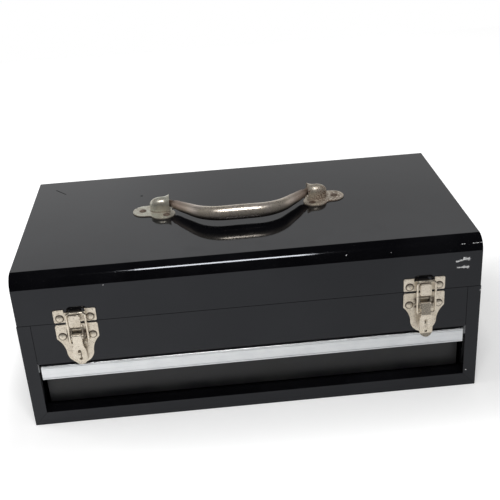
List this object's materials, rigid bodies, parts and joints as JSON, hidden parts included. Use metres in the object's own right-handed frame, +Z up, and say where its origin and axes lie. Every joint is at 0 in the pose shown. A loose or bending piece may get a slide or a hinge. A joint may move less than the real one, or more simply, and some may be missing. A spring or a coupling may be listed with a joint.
{
  "type": "machinist tool chest",
  "caption": "Portable sheet steel machinist tool chest with a hinged lid, a carrying handle, draw latches and a full-width drawer.",
  "frame": {"origin": "centre of the case's flat underside", "axes": "+X to the right as seen from the front, +Y to the back, +Z up"},
  "size_m": [0.508, 0.2874, 0.2107],
  "materials": {
    "black_enamel": "glossy black baked enamel on sheet steel",
    "nickel_plate": "worn nickel plate with light rust spots",
    "nickel_wire": "nickel plated steel wire",
    "worn_nickel": "worn nickel plate with rust in the hollows",
    "handle_nickel": "polished nickel plate, dulled by handling",
    "bright_aluminium": "satin anodised extrusion",
    "rivet_steel": "bare steel rivets",
    "zinc_steel": "zinc plated sheet steel"
  },
  "bodies": {
    "case": {"case_shell": "black_enamel", "rear_panel": "black_enamel", "front_panel": "black_enamel", "compartment_floor": "black_enamel", "slide_rail_left": "zinc_steel", "slide_rail_right": "zinc_steel", "drawer_stops": "zinc_steel", "hinge_leaf_case": "black_enamel", "hinge_pin": "zinc_steel", "hinge_rivets_case": "black_enamel", "latch_plate_left": "nickel_plate", "latch_plate_right": "nickel_plate", "plate_rivets_left": "nickel_plate", "plate_rivets_right": "nickel_plate", "lever_pin_left": "nickel_wire", "lever_pin_right": "nickel_wire", "stay_stud_case": "zinc_steel"},
    "lid": {"lid_shell": "black_enamel", "lid_end_left": "black_enamel", "lid_end_right": "black_enamel", "hinge_leaf_lid": "black_enamel", "hinge_rivets_lid": "black_enamel", "latch_strike_left": "nickel_plate", "latch_strike_right": "nickel_plate", "strike_rivets_left": "nickel_plate", "strike_rivets_right": "nickel_plate", "handle_cup_left": "worn_nickel", "handle_cup_right": "worn_nickel", "handle_rivets_left": "worn_nickel", "handle_rivets_right": "worn_nickel", "stay_stud_lid": "zinc_steel"},
    "handle": {"handle_rod": "worn_nickel", "handle_grip": "handle_nickel"},
    "drawer": {"drawer_tray": "black_enamel", "drawer_front": "black_enamel", "drawer_pull": "bright_aluminium", "pull_rivets": "rivet_steel", "drawer_runner_left": "zinc_steel", "drawer_runner_right": "zinc_steel"},
    "latch_lever_left": {"latch_lever_left": "nickel_plate"},
    "latch_lever_right": {"latch_lever_right": "nickel_plate"},
    "latch_bail_left": {"latch_bail_left": "nickel_wire"},
    "latch_bail_right": {"latch_bail_right": "nickel_wire"},
    "stay_lower": {"stay_lower_link": "zinc_steel", "stay_elbow_rivet": "zinc_steel"},
    "stay_upper": {"stay_upper_link": "zinc_steel"}
  },
  "joints": [
    {"name": "lid_hinge", "type": "hinge", "parent": "case", "child": "lid", "pos_m": [0, 0.13625, 0.13105], "axis": [-1, 0, 0], "range_deg": [0, 95]},
    {"name": "drawer_slide", "type": "slide", "parent": "case", "child": "drawer", "axis": [0, -1, 0], "range_m": [0, 0.19]},
    {"name": "handle_swing", "type": "hinge", "parent": "lid", "child": "handle", "pos_m": [0, 0.0124, 0.1983], "axis": [-1, 0, 0], "range_deg": [0, 171.6]},
    {"name": "latch_lever_left", "type": "hinge", "parent": "case", "child": "latch_lever_left", "pos_m": [-0.19, -0.13935, 0.1161], "axis": [-1, 0, 0], "range_deg": [0, 140]},
    {"name": "latch_lever_right", "type": "hinge", "parent": "case", "child": "latch_lever_right", "pos_m": [0.19, -0.13935, 0.1161], "axis": [-1, 0, 0], "range_deg": [-17, 123]},
    {"name": "latch_bail_left", "type": "hinge", "parent": "latch_lever_left", "child": "latch_bail_left", "pos_m": [-0.19, -0.13815, 0.1075], "axis": [-1, 0, 0], "range_deg": [-140, 0]},
    {"name": "latch_bail_right", "type": "hinge", "parent": "latch_lever_right", "child": "latch_bail_right", "pos_m": [0.19, -0.14072, 0.10752], "axis": [-1, 0, 0], "range_deg": [-123, 17]},
    {"name": "stay_lower", "type": "hinge", "parent": "case", "child": "stay_lower", "pos_m": [0.2473, 0.06325, 0.11405], "axis": [-1, 0, 0], "range_deg": [0, 95]},
    {"name": "stay_upper", "type": "hinge", "parent": "lid", "child": "stay_upper", "pos_m": [0.2491, 0.06425, 0.15105], "axis": [-1, 0, 0], "range_deg": [-95, 0]}
  ],
  "couplings": [
    {"joint": "latch_bail_left", "follows": "latch_lever_left", "ratio": -1},
    {"joint": "latch_bail_right", "follows": "latch_lever_right", "ratio": -1},
    {"joint": "stay_lower", "follows": "lid_hinge", "ratio": 1},
    {"joint": "stay_upper", "follows": "lid_hinge", "ratio": -1}
  ]
}
